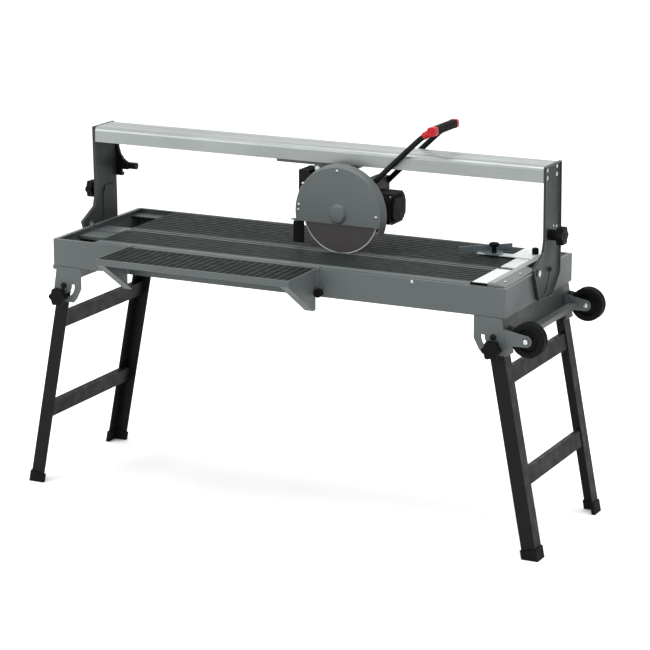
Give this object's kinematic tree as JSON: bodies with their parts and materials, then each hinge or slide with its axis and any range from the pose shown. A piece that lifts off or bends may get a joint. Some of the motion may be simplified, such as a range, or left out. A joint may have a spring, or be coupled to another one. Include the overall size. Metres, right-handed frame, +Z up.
{
  "type": "tile cutter",
  "caption": "Bridge tile saw: wet bed with ribbed tables and blade slot, tilting rail bridge with a sliding plunging saw head, fence, angle guide, side table, folding legs and wheels.",
  "frame": {"origin": "bottom centre of the bounding box, on the floor between the legs", "axes": "+X along the cut towards the transport wheels, +Y away from the user, +Z up"},
  "size_m": [1.729, 0.7394, 1.1934],
  "materials": {
    "grey_paint": "satin",
    "ribbed_plate": "matt",
    "aluminium": "satin",
    "guide_steel": "brushed",
    "bright_steel": "brushed",
    "blade_steel": "brushed",
    "black_paint": "satin",
    "black_plastic": "matt",
    "rubber": "matt",
    "tyre": "matt",
    "red_plastic": "gloss",
    "stator_core": "matt"
  },
  "bodies": {
    "bed": {"bed_frame": "grey_paint", "water_tray": "grey_paint", "slot_beam_front": "grey_paint", "slot_beam_rear": "grey_paint", "table_front": "ribbed_plate", "table_rear": "ribbed_plate", "water_pump": "black_plastic", "fence_ruler": "aluminium", "fence_cap": "black_plastic", "leg_brackets_right": "grey_paint", "leg_brackets_left": "grey_paint", "wheel_frame": "grey_paint", "tilt_stay_right": "bright_steel", "tilt_stay_left": "bright_steel"},
    "bridge": {"post_right": "grey_paint", "tilt_pivot_right": "bright_steel", "post_left": "grey_paint", "tilt_pivot_left": "bright_steel", "rail": "aluminium", "cable_hook": "black_paint"},
    "tilt_lock_right": {"tilt_knob_right": "black_plastic"},
    "tilt_lock_left": {"tilt_knob_left": "black_plastic"},
    "carriage": {"carriage_frame": "grey_paint"},
    "rollers_a": {"rail_rollers_left": "bright_steel"},
    "rollers_b": {"rail_rollers_right": "bright_steel"},
    "head": {"head_frame": "black_paint", "plunge_pin": "bright_steel", "motor_housing": "black_paint", "stator": "stator_core", "guard_shell": "grey_paint", "guard_cover": "grey_paint", "splash_flap": "rubber", "switch_box": "black_plastic", "switch_lid": "black_plastic", "handle_frame": "black_paint", "grip": "rubber", "grip_cap_front": "red_plastic", "grip_cap_rear": "red_plastic"},
    "rocker": {"switch_rocker": "red_plastic"},
    "spindle": {"rotor_shaft": "bright_steel", "blade": "blade_steel", "clamp_flange": "bright_steel"},
    "leg_left": {"leg_frame_left": "black_paint"},
    "leg_right": {"leg_frame_right": "black_paint"},
    "leg_lock_front_left": {"leg_knob_front_left": "black_plastic"},
    "leg_lock_rear_left": {"leg_knob_rear_left": "black_plastic"},
    "leg_lock_front_right": {"leg_knob_front_right": "black_plastic"},
    "leg_lock_rear_right": {"leg_knob_rear_right": "black_plastic"},
    "front_wheel": {"wheel_front": "tyre"},
    "rear_wheel": {"wheel_rear": "tyre"},
    "side_table": {"side_table_frame": "grey_paint", "side_table_top": "ribbed_plate"},
    "side_lock": {"side_knob": "black_plastic"},
    "guide": {"guide_base": "aluminium"},
    "guide_bar": {"guide_blade": "guide_steel"},
    "guide_lock": {"guide_knob": "black_plastic"},
    "guide_clamp_lock": {"guide_clamp": "black_plastic"}
  },
  "joints": [
    {"name": "bridge_tilt", "type": "hinge", "parent": "bed", "child": "bridge", "pos_m": [-0.00052, 0.0333, 0.795], "axis": [1, 0, 0], "range_deg": [0, 45]},
    {"name": "tilt_knob_right_turn", "type": "hinge", "parent": "bridge", "child": "tilt_lock_right", "pos_m": [0.75648, 0.1213, 0.893], "axis": [1, 0, 0], "range_deg": [0, 180]},
    {"name": "tilt_knob_left_turn", "type": "hinge", "parent": "bridge", "child": "tilt_lock_left", "pos_m": [-0.75752, 0.1213, 0.893], "axis": [1, 0, 0], "range_deg": [0, 180]},
    {"name": "carriage_slide", "type": "slide", "parent": "bridge", "child": "carriage", "axis": [1, 0, 0], "range_m": [-0.62, 0.43]},
    {"name": "rollers_a_spin", "type": "hinge", "parent": "carriage", "child": "rollers_a", "pos_m": [-0.07552, 0.1323, 1.0733], "axis": [0, 1, 0], "continuous": true},
    {"name": "rollers_b_spin", "type": "hinge", "parent": "carriage", "child": "rollers_b", "pos_m": [0.11948, 0.1323, 1.0733], "axis": [0, 1, 0], "continuous": true},
    {"name": "head_plunge", "type": "hinge", "parent": "carriage", "child": "head", "pos_m": [0.02448, 0.1323, 1.034], "axis": [0, -1, 0], "range_deg": [0, 13]},
    {"name": "switch_rocker_turn", "type": "hinge", "parent": "head", "child": "rocker", "pos_m": [0.23648, 0.1673, 0.93], "axis": [1, 0, 0], "range_deg": [0, 14]},
    {"name": "blade_spin", "type": "hinge", "parent": "head", "child": "spindle", "pos_m": [0.12248, 0.0333, 0.9155], "axis": [0, 1, 0], "continuous": true},
    {"name": "leg_left_fold", "type": "hinge", "parent": "bed", "child": "leg_left", "pos_m": [-0.71452, 0.0713, 0.652], "axis": [0, -1, 0], "range_deg": [0, 100]},
    {"name": "leg_right_fold", "type": "hinge", "parent": "bed", "child": "leg_right", "pos_m": [0.71348, 0.0713, 0.652], "axis": [0, 1, 0], "range_deg": [0, 100]},
    {"name": "leg_knob_front_left_turn", "type": "hinge", "parent": "leg_left", "child": "leg_lock_front_left", "pos_m": [-0.7205, -0.1907, 0.62056], "axis": [0, 1, 0], "range_deg": [0, 180]},
    {"name": "leg_knob_rear_left_turn", "type": "hinge", "parent": "leg_left", "child": "leg_lock_rear_left", "pos_m": [-0.7205, 0.3333, 0.62056], "axis": [0, 1, 0], "range_deg": [0, 180]},
    {"name": "leg_knob_front_right_turn", "type": "hinge", "parent": "leg_right", "child": "leg_lock_front_right", "pos_m": [0.71946, -0.1907, 0.62056], "axis": [0, 1, 0], "range_deg": [0, 180]},
    {"name": "leg_knob_rear_right_turn", "type": "hinge", "parent": "leg_right", "child": "leg_lock_rear_right", "pos_m": [0.71946, 0.3333, 0.62056], "axis": [0, 1, 0], "range_deg": [0, 180]},
    {"name": "wheel_front_spin", "type": "hinge", "parent": "bed", "child": "front_wheel", "pos_m": [0.81348, -0.1652, 0.65], "axis": [0, 1, 0], "continuous": true},
    {"name": "wheel_rear_spin", "type": "hinge", "parent": "bed", "child": "rear_wheel", "pos_m": [0.81348, 0.3078, 0.65], "axis": [0, 1, 0], "continuous": true},
    {"name": "side_table_slide", "type": "slide", "parent": "bed", "child": "side_table", "axis": [1, 0, 0], "range_m": [-0.16, 0.28]},
    {"name": "side_knob_turn", "type": "hinge", "parent": "side_table", "child": "side_lock", "pos_m": [0.16598, -0.1931, 0.725], "axis": [0, 1, 0], "range_deg": [0, 180]},
    {"name": "guide_slide", "type": "slide", "parent": "bed", "child": "guide", "axis": [0, 1, 0], "range_m": [-0.045, 0]},
    {"name": "guide_turn", "type": "hinge", "parent": "guide", "child": "guide_bar", "pos_m": [0.55508, 0.19, 0.7994], "axis": [0, 0, 1], "range_deg": [-30, 45]},
    {"name": "guide_knob_turn", "type": "hinge", "parent": "guide", "child": "guide_lock", "pos_m": [0.55508, 0.19, 0.7994], "axis": [0, 0, 1], "range_deg": [0, 180]},
    {"name": "guide_clamp_turn", "type": "hinge", "parent": "guide", "child": "guide_clamp_lock", "pos_m": [0.66848, 0.236, 0.7994], "axis": [0, 0, 1], "range_deg": [0, 180]}
  ],
  "couplings": [
    {"joint": "rollers_a_spin", "follows": "carriage_slide", "rad_per_m": 66.667},
    {"joint": "rollers_b_spin", "follows": "carriage_slide", "rad_per_m": 66.667}
  ]
}
